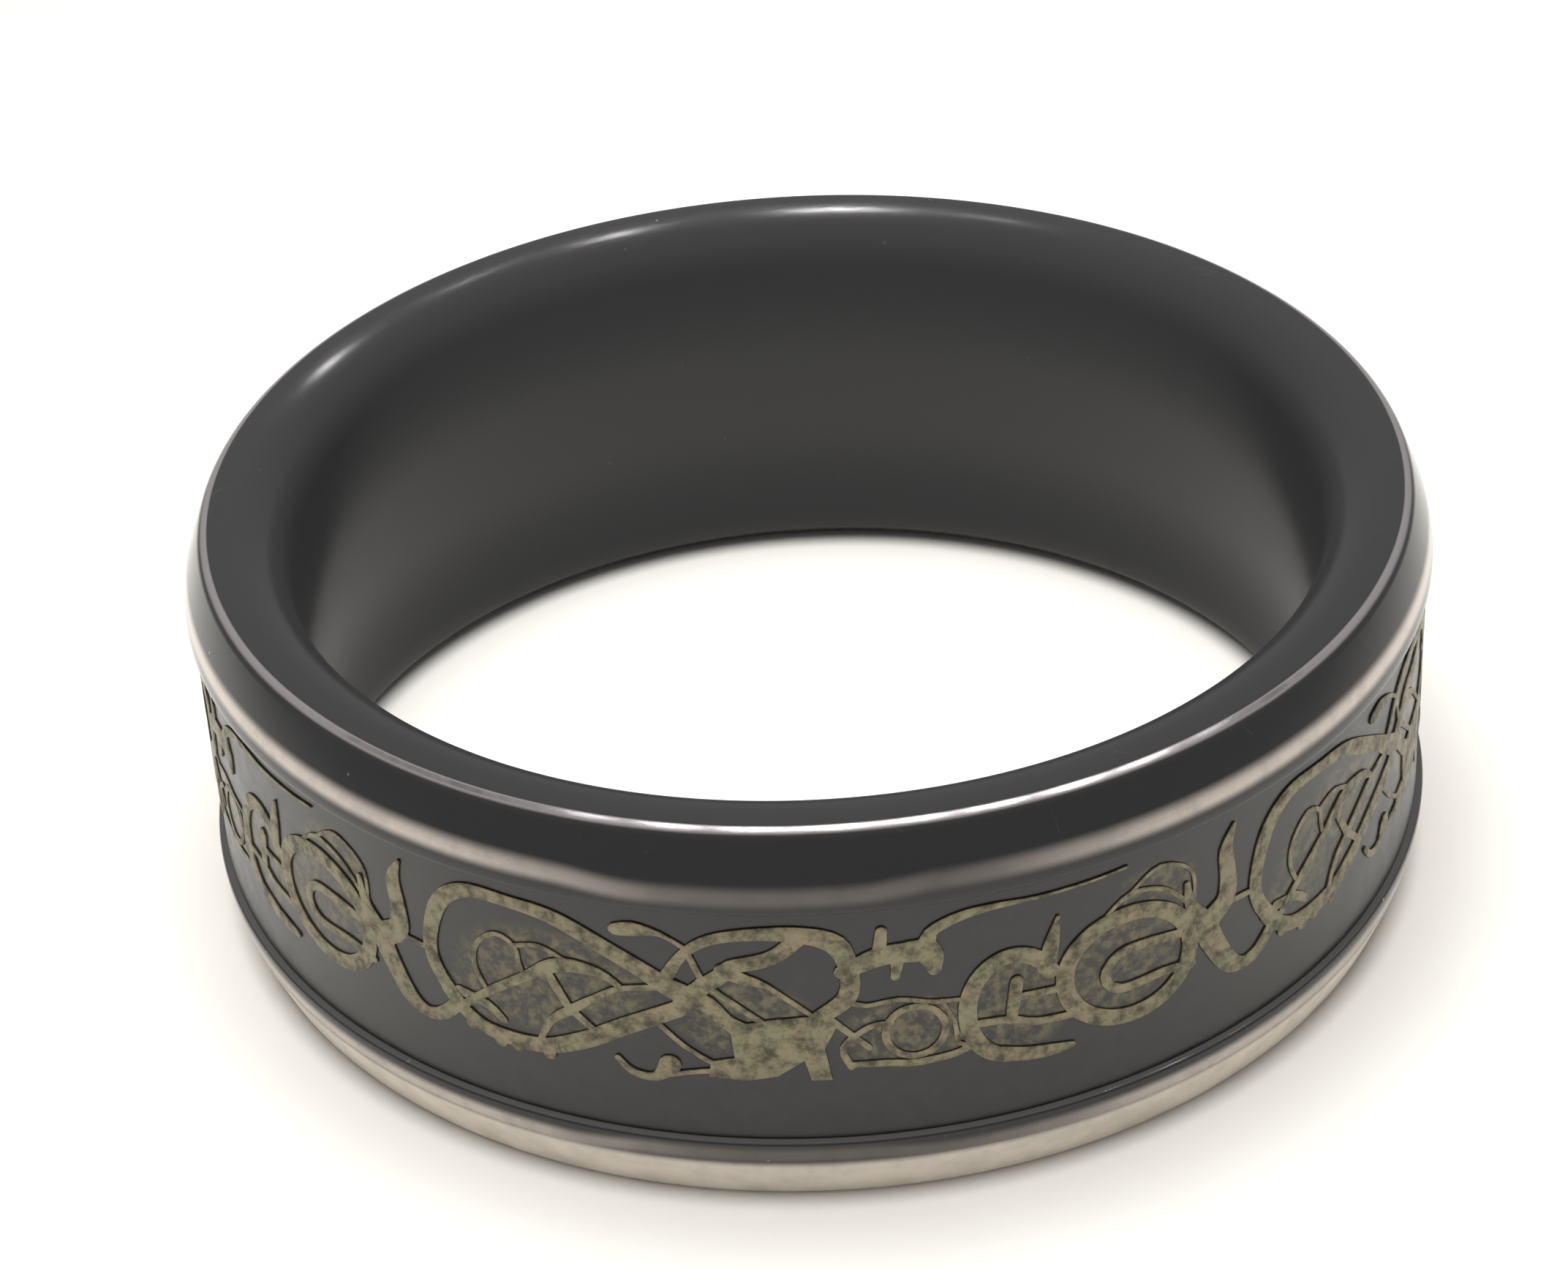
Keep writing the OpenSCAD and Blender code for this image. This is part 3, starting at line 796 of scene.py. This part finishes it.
# Small snooted lamps draw the glints on the far rim and the bright line along the near edge.
# Each stands where its spot on the rounding mirrors it. Rows are: turn of the spot, its tilt
# from level (outward is positive), in degrees, then the lamp's radius in metres and its power
LAMP_ROWS = [
    (174.0, -13.0, 0.001, 0.075),
    (178.5, -15.5, 0.001, 0.015),
    (157.0, -12.0, 0.001, 0.008),
    (200.0, -14.0, 0.001, 0.045),
    (219.0, -11.0, 0.001, 0.008),
    (241.0, -12.0, 0.001, 0.035),
    (-20.0, 24.0, 0.008, 0.06),
    (-13.0, 24.0, 0.008, 0.13),
    (-6.0, 24.0, 0.008, 0.26),
    (1.0, 24.0, 0.008, 0.32),
    (8.0, 24.0, 0.008, 0.23),
    (15.0, 24.0, 0.008, 0.22),
    (22.0, 24.0, 0.008, 0.26),
    (29.0, 24.0, 0.008, 0.13),
    (36.0, 24.0, 0.008, 0.03),
]
EDGE_REACH = 11.4 * mm
LAMP_AWAY = 0.2
SNOOT_ANGLE = radians(5.6)
for turn_degrees, tilt_degrees, lamp_radius, power in LAMP_ROWS:
    turn = radians(turn_degrees)
    tilt = radians(tilt_degrees)
    if tilt > 0:
        reach, height = EDGE_REACH, band_high.z
    else:
        reach = bore_radius + COMFORT_RADIUS * (1 + sin(tilt))
        height = band_high.z - COMFORT_RADIUS * (1 - cos(tilt))
    spot = Vector((reach * sin(turn), -reach * cos(turn), height))
    outward = Vector((sin(turn) * sin(tilt), -cos(turn) * sin(tilt), cos(tilt)))
    to_camera = (camera.matrix_world.translation - spot).normalized()
    mirrored = 2 * to_camera.dot(outward) * outward - to_camera
    lamp_data = bpy.data.lights.new("snooted_lamp", "SPOT")
    lamp_data.energy = power
    lamp_data.shadow_soft_size = lamp_radius
    lamp_data.spot_size = SNOOT_ANGLE
    lamp_data.spot_blend = 1.0
    snooted_lamp = bpy.data.objects.new("snooted_lamp", lamp_data)
    snooted_lamp.location = spot + LAMP_AWAY * mirrored
    snooted_lamp.rotation_euler = mirrored.to_track_quat("Z", "Y").to_euler()
    snooted_lamp.visible_diffuse = False
    bpy.context.scene.collection.objects.link(snooted_lamp)

bpy.context.scene.view_settings.view_transform = "Standard"
